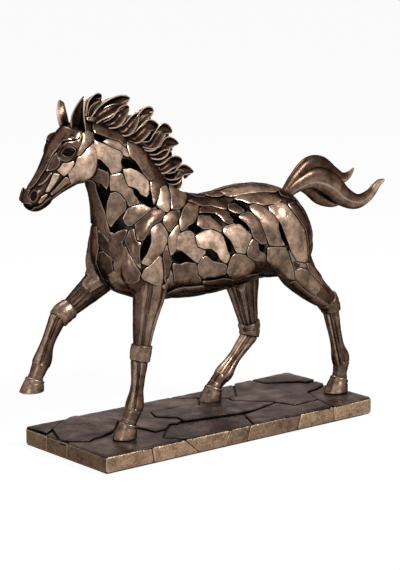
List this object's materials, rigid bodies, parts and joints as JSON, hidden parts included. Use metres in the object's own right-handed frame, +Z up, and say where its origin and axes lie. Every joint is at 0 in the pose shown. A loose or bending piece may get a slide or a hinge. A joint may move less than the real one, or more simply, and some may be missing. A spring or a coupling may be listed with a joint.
{
  "type": "horse statuette",
  "caption": "Trotting horse statuette in openwork bronze plates with a curling mane and flowing tail, standing on a paved rectangular base.",
  "frame": {"origin": "centre of the felt pad's underside, where the statuette rests", "axes": "+X from the head to the tail, -Y is the horse's left side, +Z up"},
  "size_m": [0.3488, 0.1006, 0.2611],
  "materials": {
    "bronze": "cold-cast bronze, satin, with rubbed highlights",
    "dark_bronze": "cold-cast bronze with a dark brown patina",
    "steel": "drawn wire",
    "felt": "black felt"
  },
  "bodies": {
    "root": {"base_slab": "dark_bronze", "felt_pad": "felt", "haunch_shell_left": "bronze", "haunch_shell_right": "bronze", "barrel_shell_left": "bronze", "barrel_shell_right": "bronze", "shoulder_shell_left": "bronze", "shoulder_shell_right": "bronze", "neck_shell_left": "bronze", "neck_shell_right": "bronze", "head": "bronze", "cheek_plate_left": "bronze", "cheek_plate_right": "bronze", "ear_left": "dark_bronze", "ear_right": "dark_bronze", "mane": "dark_bronze", "tail": "dark_bronze", "tail_pin": "steel", "left_fore_forearm": "bronze", "left_fore_knee": "bronze", "left_fore_cannon": "bronze", "left_fore_pastern": "bronze", "left_fore_hoof": "bronze", "left_fore_wire": "steel", "right_fore_forearm": "bronze", "right_fore_knee": "bronze", "right_fore_cannon": "bronze", "right_fore_pastern": "bronze", "right_fore_hoof": "bronze", "right_fore_wire": "steel", "left_hind_thigh": "bronze", "left_hind_hock": "bronze", "left_hind_cannon": "bronze", "left_hind_pastern": "bronze", "left_hind_hoof": "bronze", "left_hind_wire": "steel", "right_hind_thigh": "bronze", "right_hind_hock": "bronze", "right_hind_cannon": "bronze", "right_hind_pastern": "bronze", "right_hind_hoof": "bronze", "right_hind_wire": "steel"}
  },
  "joints": []
}
